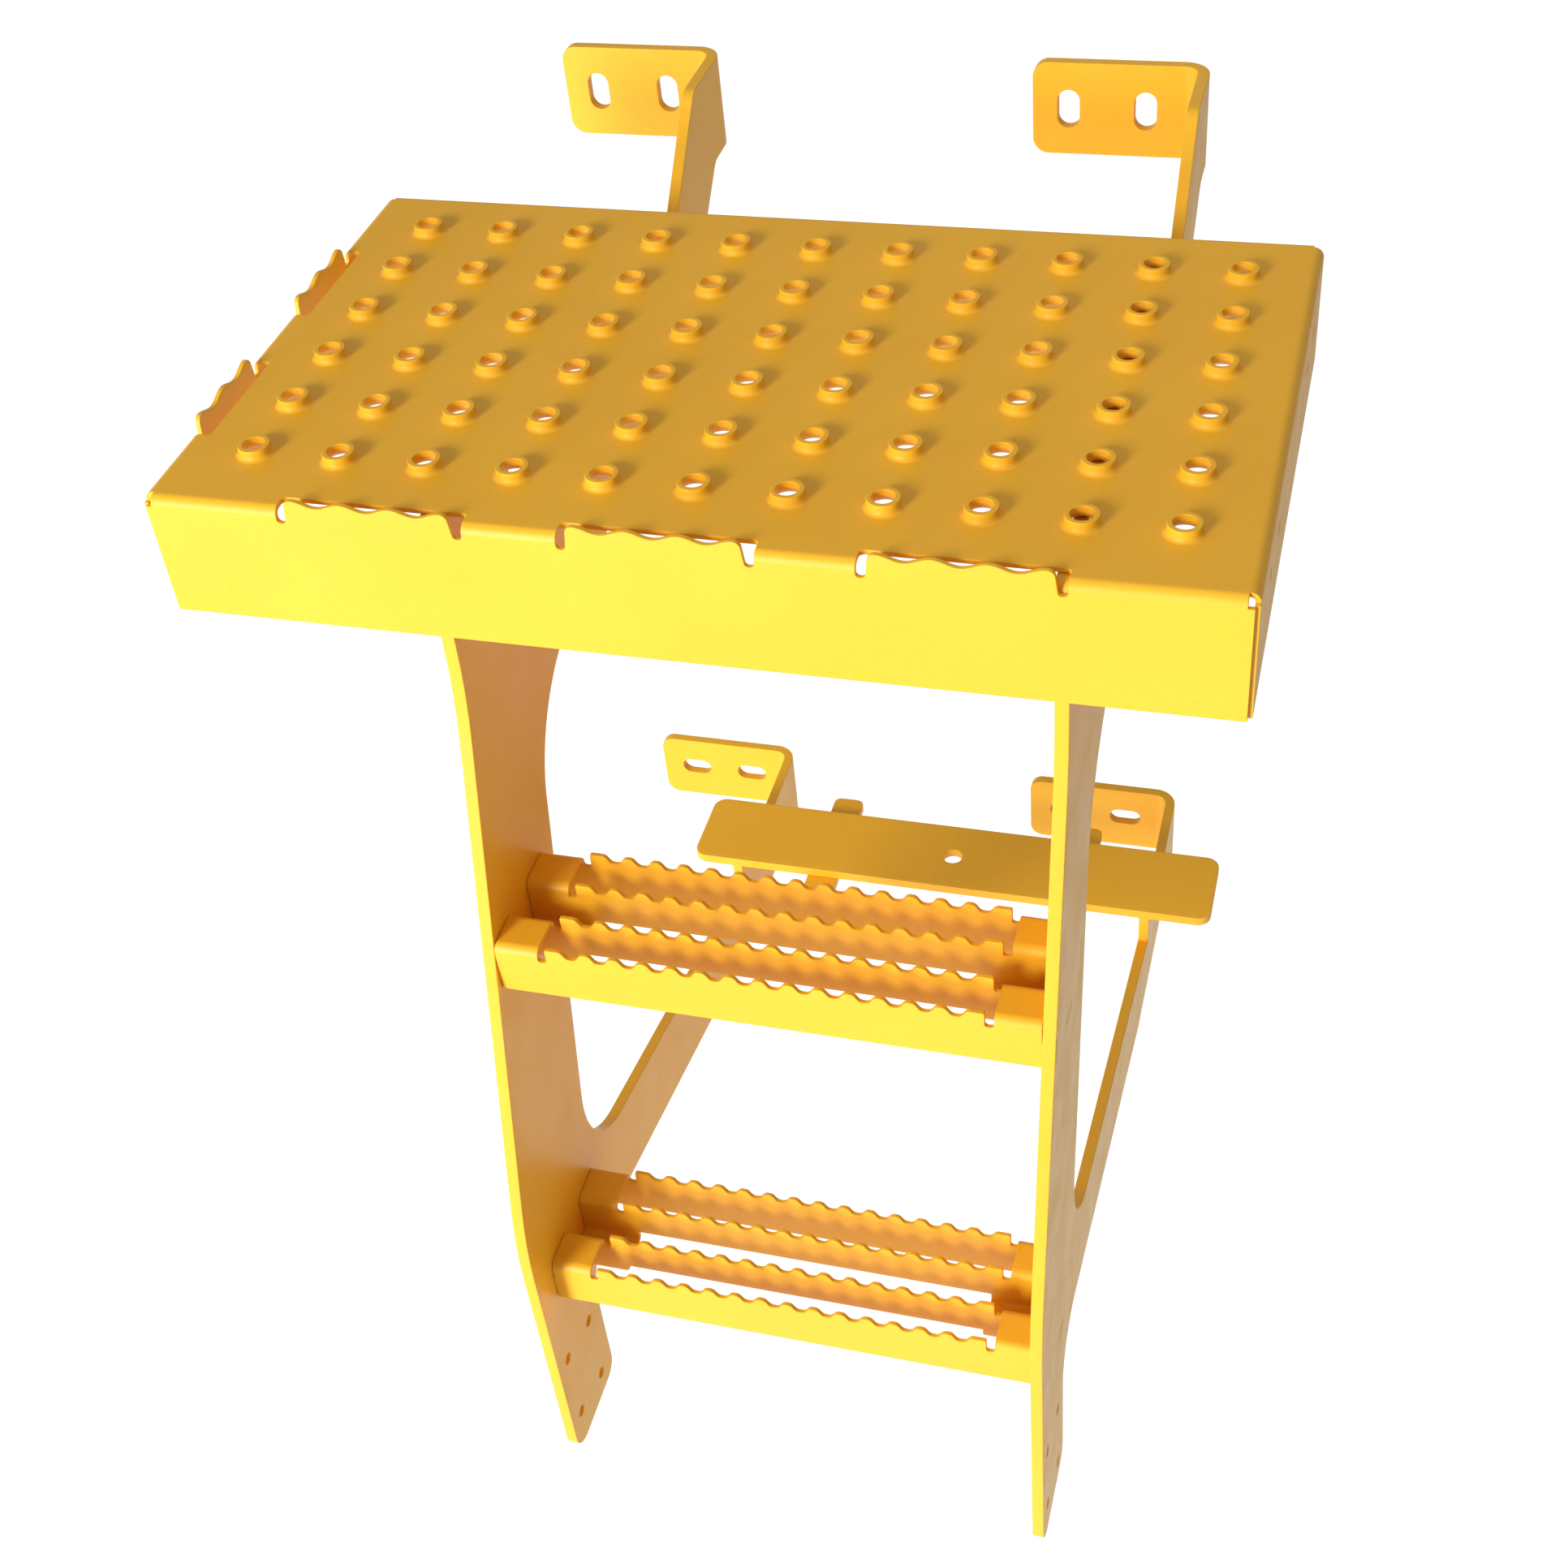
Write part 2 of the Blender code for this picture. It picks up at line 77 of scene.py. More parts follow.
# Side plates
PLATE_T = span("shelf_plate", Z)[1] - span("shelf_plate", Z)[0]
PLATE_BEND_R = 14.0             # to the middle of the thickness
LEFT_PLATE_X = span("side_plate_left", X)[1] - PLATE_T / 2
PLATE_PITCH = span("side_plate_right", X)[1] - span("side_plate_left", X)[1]
FLANGE_Y = span("side_plate_left", Y)[1] - PLATE_T / 2
BEND_Y = FLANGE_Y - PLATE_BEND_R
UPPER_FLANGE = {"end": -51.6, "low": -33.1, "high": span("side_plate_left", Z)[1]}
LOWER_FLANGE = {"end": span("side_plate_left", X)[0], "low": -694.6, "high": -630.1}
UPPER_SLOTS = {"centres": (-26.6, 26.6), "height": 0.0, "width": 15.4, "tall": 27.3}
LOWER_SLOTS = {"centres": (-27.2, 26.0), "height": -660.8, "width": 27.2, "tall": 15.5}
FLANGE_CORNER_R = 11.0
LEG_FRONT_Y = span("side_plate_left", Y)[0]
LEG_WIDTH = 78.0
LEG_REAR_Y = LEG_FRONT_Y + LEG_WIDTH
LEG_FOOT_Z = span("side_plate_left", Z)[0]
FOOT_HOLE_R = 4.5
FOOT_HOLES = ((-604.2, -668.0), (-644.4, -657.1), (-604.2, -735.1), (-644.4, -724.2))
ARM_DROP = 3.6                  # the upper arm passes this far below the rear skirt
WINDOW = {"front": -462.0, "rear": -312.0, "low": -78.0, "high": -4.0, "radius": 14.0}

# Platform
SHEET_T = 3.0
FOLD_R = 4.5                    # to the middle of the thickness
FOLD_REACH = SHEET_T / 2 + FOLD_R
DECK_X = span("platform_deck", X)
DECK_Y = span("platform_deck", Y)
DECK_TOP = 19.1
FOLD_Z = DECK_TOP - FOLD_REACH
SKIRT_Z = span("platform_deck", Z)[0]
CORNER_LAP = 0.6                # the front and rear skirts' ends cover this much of the end skirts

# Drain holes, each with a drawn rim
RIM_COLUMNS = 11
RIM_ROWS = 6
RIM_PITCH = 52.0
FIRST_RIM = (-54.0, -520.8)     # x and y of the front left one
RIM_R = 7.9
RIM_FLARE = 4.4
RIM_TOP = 25.3
RIM_SIDES = 36
RIM_FLARE_STEPS = 6

# Wavy cleats that stand up from the front and left skirts
CLEAT_PITCH = 29.2
CLEAT_MEAN_Z = 23.4
CLEAT_WAVE = 1.85
CLEAT_PEAK_Z = CLEAT_MEAN_Z + CLEAT_WAVE
CLEAT_SLOT_W = 5.0
CLEAT_SLOT_Z = 10.0
CLEAT_SLOT_R = 2.3
CLEAT_FLANK_LEAN = 1.8          # a cleat's ends lean in by this much over their height
CLEAT_SHOULDER_R = 4.2
CLEAT_CUT = 12.0                # the deck ends this far behind a cleat's outer face
CLEAT_CUT_R = 3.0
CLEAT_END = 10.7                # from the last peak to the far side of the slot
CLEAT_SAMPLES = 20              # points in one wave
FRONT_CLEATS = {"centres": (35.5, 198.3, 361.1), "troughs": 3}
LEFT_CLEATS = {"centres": (-467.2, -332.0), "troughs": 2}

# Holes in the right skirt
RAIL_HOLE_R = 4.5
RAIL_HOLES = ((-508.6, -11.3), (-465.9, -11.3), (-307.3, -11.3), (-265.7, -11.3))

# Treads
TREAD_DEEP = 36.7
TREAD_TOP = {name: span(name, Z)[0] + TREAD_DEEP for name in ("upper_tread", "lower_tread")}
WALL_OFFSETS = (1.5, 29.5, 58.5, 86.5)  # middles of the four walls behind a tread's front
PAD_LENGTH = 28.0
VALLEY_LENGTH = 41.9
INNER_WALL_LOW = -26.8
RELIEF_W = 5.4
RELIEF_DEEP = 8.3
RELIEF_R = 2.0
TOOTH_PITCH = 18.25
TOOTH_TROUGHS = 14
TOOTH_WAVE = 2.8
TOOTH_SAMPLES = 16              # points in one tooth
TOOTH_FLATNESS = 1.6
TOOTH_SHOULDER_R = 1.2
WALL_TAB = {"low": -30.0, "high": -15.0}
VALLEY_TAB = {"front": 36.0, "rear": 52.0}

# Shelf, bars and tie plate
SHELF_CORNER_R = 11.0
SHELF_HOLE_R = 8.0
BAR_CORNER_R = 6.0

# Fineness
ROUND_STEP = 4.0                # degrees in one chord of a rounded corner
FEWEST_CHORDS = 4
SMALL_RADIUS = 3.0              # a corner with a smaller radius has few chords
MOST_SMALL_CHORDS = 8
HOLE_SIDES = 40
FOLD_STEPS = 8
BEND_STEPS = 14
MESH_STEP = 11.0                # spacing of the points inside a flat face
MESH_CLEAR = 3.5                # clearance from those points to an outline
MESH_TOLERANCE = 0.0001
WELD_DISTANCE = 0.01
PLATE_EDGE_R = 0.55             # edges softened by the coat
SHEET_EDGE_R = 0.4
EDGE_SEGMENTS = 2
EDGE_ANGLE = 50                 # degrees, the least turn that counts as an edge
NORMAL_WEIGHT = 50

# Coats: base colour where the film is full, where it is lighter, and where it is thin
PLATE_COAT = {"full": (0.82, 0.425, 0.016, 1), "light": (0.84, 0.445, 0.02, 1),
              "thin": (0.74, 0.34, 0.012, 1), "roughness": 0.42}
SHEET_COAT = {"full": (0.83, 0.42, 0.018, 1), "light": (0.85, 0.44, 0.022, 1),
              "thin": (0.75, 0.34, 0.012, 1), "roughness": 0.45}
COAT_SPECULAR = 0.33
THIN_EDGE_R = 0.0012            # metres
THIN_EDGE_SAMPLES = 6
PEEL_DEPTH = 0.00006            # metres
PEEL_STRENGTH = 0.55

# Camera, in metres
CAMERA_AT = (0.56066, -1.43199, 0.67060)
CAMERA_AZIMUTH = 19.512         # degrees, 0 looks along +Y
CAMERA_ELEVATION = 41.587
CAMERA_ROLL = -6.414
CAMERA_LENS = 50.0              # millimetres
CAMERA_SENSOR = 36.0            # millimetres

# Floor and light, in metres and watts
BLACK = (0, 0, 0, 1)
WHITE = (1, 1, 1, 1)
FLOOR_DROP = 0.75               # the step hangs this far above the floor
FLOOR_SIZE = 30.0
FLOOR_GREYS = ((0.40, 0.40, 0.40, 1), (0.42, 0.42, 0.42, 1))
# painted light: the floor glows like a lamp under the step, and FLOOR_SHADE fades that glow to the
# right
FLOOR_GLOW = 0.82
FLOOR_SHADE = {"start": 1.0, "end": 1.6, "least": 0.3}
SKY_GLOW = 0.45
SKY_SHADE = {"start": -0.1, "end": 0.8, "least": 0.75}
KEY_DISTANCE = 5.0
KEY_SIZE = 1.4
KEYS = {"high_key": {"from": (-0.36, -0.83, 0.42), "power": 165.0},
        "low_key": {"from": (-0.39, -0.92, 0.06), "power": 172.0}}
FILL = {"at": (0.66, -0.18, 0.85), "towards": (0.45, -0.35, 0), "size": 0.5, "power": 0.9}


def plane(across, up, normal_offset):
    """Matrix that lays drawing axes (a, b) on two world axes, at an offset along the third."""
    axes = {"X": Vector((1, 0, 0)), "Y": Vector((0, 1, 0)), "Z": Vector((0, 0, 1))}
    third = ({"X", "Y", "Z"} - {across, up}).pop()
    matrix = Matrix.Identity(4)
    matrix.col[0][:3] = axes[across]
    matrix.col[1][:3] = axes[up]
    matrix.col[2][:3] = axes[across].cross(axes[up])
    matrix.col[3][:3] = axes[third] * normal_offset * MM
    return matrix


def rounded(corners):
    """Closed outline through corners (a, b, radius), each corner rounded by its own radius."""
    points = []
    for i, (a, b, radius) in enumerate(corners):
        here = Vector((a, b))
        if radius == 0:
            points.append((a, b))
            continue
        back = (Vector(corners[i - 1][:2]) - here).normalized()
        ahead = (Vector(corners[(i + 1) % len(corners)][:2]) - here).normalized()
        half = back.angle(ahead) / 2
        centre = here + (back + ahead).normalized() * radius / math.sin(half)
        spoke = here + back * radius / math.tan(half) - centre
        turn = math.pi - 2 * half
        if back.x * ahead.y - back.y * ahead.x > 0:
            turn = -turn
        steps = max(FEWEST_CHORDS, math.ceil(abs(turn) / math.radians(ROUND_STEP)))
        if radius < SMALL_RADIUS:
            steps = min(steps, MOST_SMALL_CHORDS)
        for k in range(steps + 1):
            angle = turn * k / steps
            c, s = math.cos(angle), math.sin(angle)
            points.append((centre.x + spoke.x * c - spoke.y * s,
                           centre.y + spoke.x * s + spoke.y * c))
    return points


def square(points):
    """The same points as corners that aren't rounded."""
    return [(a, b, 0) for a, b in points]


def circle(a, b, radius, sides=HOLE_SIDES):
    """Closed outline of a round hole."""
    turns = [2 * math.pi * (k + 0.5) / sides for k in range(sides)]
    return [(a + radius * math.cos(t), b + radius * math.sin(t)) for t in turns]


def box_outline(a0, a1, b0, b1, radius=0.0):
    """Closed outline of a rectangle whose corners share one radius."""
    return rounded([(a0, b0, radius), (a1, b0, radius), (a1, b1, radius), (a0, b1, radius)])


def slot(a, b, width, tall):
    """Slot with half-round ends, drawn as two half circles."""
    radius = min(width, tall) / 2
    reach_a, reach_b = width / 2 - radius, tall / 2 - radius
    start = 0.0 if reach_b > 0 else -math.pi / 2
    half = HOLE_SIDES // 2
    points = []
    for side in (1, -1):
        for k in range(half + 1):
            t = start + math.pi * k / half + (0 if side == 1 else math.pi)
            points.append((a + side * reach_a + radius * math.cos(t),
                           b + side * reach_b + radius * math.sin(t)))
    return points


def outline_edges(loops):
    """Start and end points of every edge of an outline and its holes."""
    ends = np.array([point for loop in loops for point in loop])
    starts = np.array([point for loop in loops for point in loop[-1:] + loop[:-1]])
    return starts, ends


def inside(points, loops):
    """Which points an outline with holes encloses: an odd number of edges runs above them."""
    a, b = points[:, 0], points[:, 1]
    within = np.zeros(len(points), dtype=bool)
    for (a0, b0), (a1, b1) in zip(*outline_edges(loops)):
        if a0 != a1:
            crossing = ((a0 > a) != (a1 > a)) & (b < b0 + (a - a0) * (b1 - b0) / (a1 - a0))
            within ^= crossing
    return within


def clear(points, loops, distance):
    """Which points are at least a distance away from every edge of the outlines."""
    free = np.ones(len(points), dtype=bool)
    for start, end in zip(*outline_edges(loops)):
        along = end - start
        length_squared = max(along @ along, 1e-12)
        share = np.clip((points - start) @ along / length_squared, 0.0, 1.0)
        gap = points - start - share[:, None] * along
        free &= (gap * gap).sum(axis=1) > distance * distance
    return free


def add_flat(bm, loops, place):
    """Fill a flat outline and its holes with even triangles and add them to bm."""
    outline = np.array(loops[0])
    low, high = outline.min(axis=0), outline.max(axis=0)
    grid = np.meshgrid(np.arange(low[0], high[0], MESH_STEP),
                       np.arange(low[1], high[1], MESH_STEP))
    grid = np.stack([side.ravel() for side in grid], axis=1)
    odd_row = np.round((grid[:, 1] - low[1]) / MESH_STEP) % 2 == 1
    grid[:, 0] += np.where(odd_row, MESH_STEP / 2, 0.0)
    grid = grid[inside(grid, loops)]
    grid = grid[clear(grid, loops, MESH_CLEAR)]
    points = []
    edges = []
    for loop in loops:
        first = len(points)
        points += [Vector(point) for point in loop]
        edges += [(first + k, first + (k + 1) % len(loop)) for k in range(len(loop))]
    points += [Vector(point) for point in grid]
    made, _, faces = delaunay_2d_cdt(points, edges, [], 0, MESH_TOLERANCE)[:3]
    flat = np.array([point[:] for point in made])
    keep = inside(flat[np.array(faces)].mean(axis=1), loops)
    verts = {}
    for face, kept in zip(faces, keep):
        if not kept:
            continue
        for index in face:
            if index not in verts:
                a, b = made[index]
                verts[index] = bm.verts.new(place @ Vector((a * MM, b * MM, 0.0)))
        bm.faces.new([verts[index] for index in face])


def add_fold(bm, start, end, centre, axis, angle, steps=FOLD_STEPS):
    """Sweep the edge start-end about an axis through centre, as a press brake folds sheet."""
    verts = [bm.verts.new(Vector(p) * MM) for p in (start, end)]
    edge = bm.edges.new(verts)
    bmesh.ops.spin(bm, geom=verts + [edge], cent=Vector(centre) * MM, axis=axis,
                   angle=math.radians(angle), steps=steps)


def finished_piece(node, bm, thickness, edge_radius, slot_name):
    """Weld the middle surface in bm, thicken it, soften its edges and let it stand for node."""
    bmesh.ops.remove_doubles(bm, verts=bm.verts, dist=WELD_DISTANCE * MM)
    bmesh.ops.recalc_face_normals(bm, faces=bm.faces)
    name = node + "_coated"
    mesh = bpy.data.meshes.new(name)
    bm.to_mesh(mesh)
    bm.free()
    mesh.shade_smooth()
    mesh.materials.append(COATS[slot_name])
    piece = bpy.data.objects.new(name, mesh)
    bpy.context.scene.collection.objects.link(piece)
    solid = piece.modifiers.new("thickness", "SOLIDIFY")
    solid.thickness = thickness * MM
    solid.offset = 0.0
    edges = piece.modifiers.new("soft_edges", "BEVEL")
    edges.width = edge_radius * MM
    edges.segments = EDGE_SEGMENTS
    edges.limit_method = "ANGLE"
    edges.angle_limit = math.radians(EDGE_ANGLE)
    edges.use_clamp_overlap = False
    edges.loop_slide = False
    faces = piece.modifiers.new("flat_faces", "WEIGHTED_NORMAL")
    faces.mode = "FACE_AREA"
    faces.weight = NORMAL_WEIGHT
    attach(piece, "root")
    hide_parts(node)


# ---------------------------------------------------------------- materials

def noise(tree, where, scale, detail, roughness=0.5):
    """Factor of a cloudy pattern in the object's own space."""
    made = tree.nodes.new("ShaderNodeTexNoise")
    made.inputs["Scale"].default_value = scale
    made.inputs["Detail"].default_value = detail
    made.inputs["Roughness"].default_value = roughness
    tree.links.new(where, made.inputs["Vector"])
    return made.outputs["Fac"]


def spread(tree, value, taken, given):
    """Map a value from the range taken to the range given, and hold it at the ends."""
    made = tree.nodes.new("ShaderNodeMapRange")
    made.inputs["From Min"].default_value, made.inputs["From Max"].default_value = taken
    made.inputs["To Min"].default_value, made.inputs["To Max"].default_value = given
    tree.links.new(value, made.inputs["Value"])
    return made.outputs["Result"]


def blend(tree, factor, first, second):
    """Mix two colours; each is a colour or a socket."""
    made = tree.nodes.new("ShaderNodeMix")
    made.data_type = "RGBA"
    tree.links.new(factor, made.inputs["Factor"])
    sockets = [s for s in made.inputs if s.type == "RGBA"]
    for socket, colour in zip(sockets, (first, second)):
        if isinstance(colour, tuple):
            socket.default_value = colour
        else:
            tree.links.new(colour, socket)
    return [s for s in made.outputs if s.type == "RGBA"][0]


def powder_coat(name, full, light, thin, roughness):
    """Satin powder coat: slow shade drift, fine mottle, orange peel, a thinner film on edges."""
    material = bpy.data.materials.new(name)
    material.use_nodes = True
    tree = material.node_tree
    shader = tree.nodes["Principled BSDF"]
    where = tree.nodes.new("ShaderNodeTexCoord").outputs["Object"]

    drift = noise(tree, where, scale=9.0, detail=3.0)
    colour = blend(tree, spread(tree, drift, (0.35, 0.65), (0.0, 1.0)), full, light)
    mottle = noise(tree, where, scale=420.0, detail=2.0, roughness=0.6)
    colour = blend(tree, spread(tree, mottle, (0.45, 0.80), (0.0, 0.30)), colour, thin)

    soft = tree.nodes.new("ShaderNodeBevel")
    soft.samples = THIN_EDGE_SAMPLES
    soft.inputs["Radius"].default_value = THIN_EDGE_R
    surface = tree.nodes.new("ShaderNodeNewGeometry")
    facing = tree.nodes.new("ShaderNodeVectorMath")
    facing.operation = "DOT_PRODUCT"
    tree.links.new(soft.outputs["Normal"], facing.inputs[0])
    tree.links.new(surface.outputs["Normal"], facing.inputs[1])
    edge = spread(tree, facing.outputs["Value"], (0.995, 0.86), (0.0, 0.35))
    colour = blend(tree, edge, colour, thin)
    tree.links.new(colour, shader.inputs["Base Color"])
    shader.inputs["Specular IOR Level"].default_value = COAT_SPECULAR

    gloss = noise(tree, where, scale=35.0, detail=4.0, roughness=0.6)
    gloss = spread(tree, gloss, (0.3, 0.7), (roughness - 0.05, roughness + 0.06))
    tree.links.new(gloss, shader.inputs["Roughness"])

    peel = noise(tree, where, scale=520.0, detail=2.0, roughness=0.45)
    bump = tree.nodes.new("ShaderNodeBump")
    bump.inputs["Strength"].default_value = PEEL_STRENGTH
    bump.inputs["Distance"].default_value = PEEL_DEPTH
    tree.links.new(peel, bump.inputs["Height"])
    tree.links.new(bump.outputs["Normal"], shader.inputs["Normal"])
    return material


COATS = {"plate_coat": powder_coat("plate_coat", **PLATE_COAT),
         "sheet_coat": powder_coat("sheet_coat", **SHEET_COAT)}


# ---------------------------------------------------------------- side plates

def plate_profile():
    """Side plate as corners (y, z, radius): front leg and the two arms that reach the wall."""
    top = DECK_TOP - SHEET_T - GAP
    front = DECK_Y[0] + SHEET_T + GAP
    notch = DECK_Y[1] - SHEET_T - GAP
    arm_low = SKIRT_Z - ARM_DROP
    shelf_under = span("shelf_plate", Z)[0] - GAP
    return rounded([
        (front, top, 2 * FOLD_R),
        (front, -100.6, 300),
        (LEG_FRONT_Y, -505.8, 300),
        (LEG_FRONT_Y, LEG_FOOT_Z, 18),
        (LEG_REAR_Y, LEG_FOOT_Z, 13),
        (LEG_REAR_Y, -620.4, 38),
        (-225.5, LOWER_FLANGE["low"], 60),
        (BEND_Y, LOWER_FLANGE["low"], 0),
        (BEND_Y, LOWER_FLANGE["high"], 0),
        (-105.0, LOWER_FLANGE["high"], 8),
        (-115.0, shelf_under, 3),
        (-177.8, shelf_under, 1),
        (-177.8, -636.4, 3),
        (-550.8, -554.5, 69),
        (-487.0, -172.4, 100),
        (-140.9, -120.5, 40),
        (-43.0, UPPER_FLANGE["low"], 15),
        (BEND_Y, UPPER_FLANGE["low"], 0),
        (BEND_Y, UPPER_FLANGE["high"], 0),
        (-73.5, UPPER_FLANGE["high"], 15),
        (-168.7, arm_low, 12),
        (notch, arm_low, 3),
        (notch, top, 2 * FOLD_R),
    ])


def tread_slots():
    """Slots in a side plate for the tabs on the ends of both treads."""
    loops = []
    half = SHEET_T / 2 + GAP
    for name, top in TREAD_TOP.items():
        front = span(name, Y)[0]
        for offset in (WALL_OFFSETS[0], WALL_OFFSETS[-1]):
            wall = front + offset
            loops.append(box_outline(wall - half, wall + half,
                                     top + WALL_TAB["low"] - GAP, top + WALL_TAB["high"] + GAP))
        floor = top - TREAD_DEEP
        loops.append(box_outline(front + VALLEY_TAB["front"] - GAP,
                                 front + VALLEY_TAB["rear"] + GAP,
                                 floor - GAP, floor + SHEET_T + GAP))
    return loops


def side_plate(node, shift):
    """Cut plate with its two bent flanges, moved along X by shift from the left plate."""
    bm = bmesh.new()
    loops = [plate_profile()]
    loops += tread_slots()
    loops += [circle(y, z, FOOT_HOLE_R) for y, z in FOOT_HOLES]
    loops.append(box_outline(WINDOW["front"], WINDOW["rear"], WINDOW["low"], WINDOW["high"],
                             WINDOW["radius"]))
    add_flat(bm, loops, plane("Y", "Z", LEFT_PLATE_X + shift))
    bend_x = LEFT_PLATE_X - PLATE_BEND_R + shift
    for flange, slots in ((UPPER_FLANGE, UPPER_SLOTS), (LOWER_FLANGE, LOWER_SLOTS)):
        low, high = flange["low"], flange["high"]
        add_fold(bm, (LEFT_PLATE_X + shift, BEND_Y, low), (LEFT_PLATE_X + shift, BEND_Y, high),
                 (bend_x, BEND_Y, 0), (0, 0, 1), 90, BEND_STEPS)
        end = flange["end"] + shift
        face = [rounded([(bend_x, low, 0), (bend_x, high, 0), (end, high, FLANGE_CORNER_R),
                         (end, low, FLANGE_CORNER_R)])]
        face += [slot(x + shift, slots["height"], slots["width"], slots["tall"])
                 for x in slots["centres"]]
        add_flat(bm, face, plane("X", "Z", FLANGE_Y))
    finished_piece(node, bm, PLATE_T, PLATE_EDGE_R, "plate_coat")


# ---------------------------------------------------------------- platform

def cleat_span(centre, troughs):
    """Where a cleat and its slots start and end along the skirt."""
    half = troughs * CLEAT_PITCH / 2 + CLEAT_END
    return centre - half, centre + half


def cleat_edge(centre, troughs):
    """Top edge of a skirt across one cleat: slot, shoulder, wavy top, shoulder, slot."""
    low, high = cleat_span(centre, troughs)
    foot = low + CLEAT_SLOT_W
    left = [(low, FOLD_Z, 0), (low, CLEAT_SLOT_Z, CLEAT_SLOT_R),
            (foot, CLEAT_SLOT_Z, CLEAT_SLOT_R),
            (foot + CLEAT_FLANK_LEAN, CLEAT_PEAK_Z, CLEAT_SHOULDER_R)]
    right = [(low + high - a, b, radius) for a, b, radius in reversed(left)]
    wave = []
    for k in range(CLEAT_SAMPLES * troughs + 1):
        periods = k / CLEAT_SAMPLES
        a = centre + (periods - troughs / 2) * CLEAT_PITCH
        wave.append((a, CLEAT_MEAN_Z + CLEAT_WAVE * math.cos(2 * math.pi * periods), 0))
    return left + wave + right


def add_skirt(bm, side):
    """One folded-down side of the platform: its folds, then its flat face with any cleats."""
    mid_z = DECK_TOP - SHEET_T / 2
    along, across = (DECK_X, DECK_Y) if side in ("front", "rear") else (DECK_Y, DECK_X)
    at_low = side in ("front", "left")
    inset = FOLD_REACH if at_low else -FOLD_REACH
    line = across[0 if at_low else 1] + inset
    cleats = {"front": FRONT_CLEATS, "left": LEFT_CLEATS}.get(side, {"centres": (), "troughs": 0})
    spans = [cleat_span(c, cleats["troughs"]) for c in cleats["centres"]]
    stops = [along[0] + FOLD_REACH] + [edge for pair in spans for edge in pair]
    stops.append(along[1] - FOLD_REACH)
    for start, end in zip(stops[0::2], stops[1::2]):
        if side in ("front", "rear"):
            add_fold(bm, (start, line, mid_z), (end, line, mid_z), (0, line, FOLD_Z),
                     (1, 0, 0), 90 if at_low else -90)
        else:
            add_fold(bm, (line, start, mid_z), (line, end, mid_z), (line, 0, FOLD_Z),
                     (0, 1, 0), -90 if at_low else 90)
    end = SHEET_T + GAP if side in ("left", "right") else SHEET_T - CORNER_LAP
    top = square([(along[0] + end, FOLD_Z), (along[0] + FOLD_REACH, FOLD_Z)])
    for centre in cleats["centres"]:
        top += cleat_edge(centre, cleats["troughs"])
    top += square([(along[1] - FOLD_REACH, FOLD_Z), (along[1] - end, FOLD_Z)])
    loops = [rounded(square([(top[0][0], SKIRT_Z), (top[-1][0], SKIRT_Z)]) + top[::-1])]
    if side == "right":
        loops += [circle(y, z, RAIL_HOLE_R) for y, z in RAIL_HOLES]
    face = across[0] + SHEET_T / 2 if at_low else across[1] - SHEET_T / 2
    add_flat(bm, loops, plane("X" if side in ("front", "rear") else "Y", "Z", face))


def rim_centres():
    """Places (x, y) of the drain holes."""
    return [(FIRST_RIM[0] + i * RIM_PITCH, FIRST_RIM[1] + j * RIM_PITCH)
            for i in range(RIM_COLUMNS) for j in range(RIM_ROWS)]


def add_rim(bm, a, b, base_z):
    """Drawn collar round one drain hole: a round flare up from the sheet, then a short wall."""
    turn = math.pi / RIM_SIDES
    profile = []
    for k in range(RIM_FLARE_STEPS + 1):
        angle = math.pi / 2 * k / RIM_FLARE_STEPS
        profile.append((RIM_R + RIM_FLARE * (1 - math.sin(angle)),
                        base_z + RIM_FLARE * (1 - math.cos(angle))))
    profile.append((RIM_R, RIM_TOP))
    verts = []
    for radius, z in profile:
        place = Vector((a + radius * math.cos(turn), b + radius * math.sin(turn), z)) * MM
        verts.append(bm.verts.new(place))
    edges = [bm.edges.new(pair) for pair in zip(verts, verts[1:])]
    bmesh.ops.spin(bm, geom=verts + edges, cent=Vector((a, b, 0)) * MM, axis=(0, 0, 1),
                   angle=2 * math.pi, steps=RIM_SIDES)


def platform_deck():
    """Platform folded from one sheet: a flat deck with rims, and a skirt on each side."""
    bm = bmesh.new()
    x0, x1 = DECK_X[0] + FOLD_REACH, DECK_X[1] - FOLD_REACH
    y0, y1 = DECK_Y[0] + FOLD_REACH, DECK_Y[1] - FOLD_REACH
    outline = [(x0, y0, 0)]
    for centre in FRONT_CLEATS["centres"]:
        low, high = cleat_span(centre, FRONT_CLEATS["troughs"])
        cut = DECK_Y[0] + CLEAT_CUT
        outline += [(low, y0, 0), (low, cut, CLEAT_CUT_R), (high, cut, CLEAT_CUT_R), (high, y0, 0)]
    outline += square([(x1, y0), (x1, y1), (x0, y1)])
    for centre in reversed(LEFT_CLEATS["centres"]):
        low, high = cleat_span(centre, LEFT_CLEATS["troughs"])
        cut = DECK_X[0] + CLEAT_CUT
        outline += [(x0, high, 0), (cut, high, CLEAT_CUT_R), (cut, low, CLEAT_CUT_R), (x0, low, 0)]
    mid_z = DECK_TOP - SHEET_T / 2
    loops = [rounded(outline)]
    loops += [circle(a, b, RIM_R + RIM_FLARE, RIM_SIDES) for a, b in rim_centres()]
    add_flat(bm, loops, plane("X", "Y", mid_z))
    for a, b in rim_centres():
        add_rim(bm, a, b, mid_z)
    for side in ("front", "rear", "left", "right"):
        add_skirt(bm, side)
    finished_piece("platform_deck", bm, SHEET_T, SHEET_EDGE_R, "sheet_coat")


# ---------------------------------------------------------------- treads

def tread_ends():
    """Where a tread starts and ends between the side plates, without its tabs."""
    inner_left = LEFT_PLATE_X + PLATE_T / 2 + GAP
    inner_right = LEFT_PLATE_X + PLATE_PITCH - PLATE_T / 2 - GAP
    return inner_left, inner_right


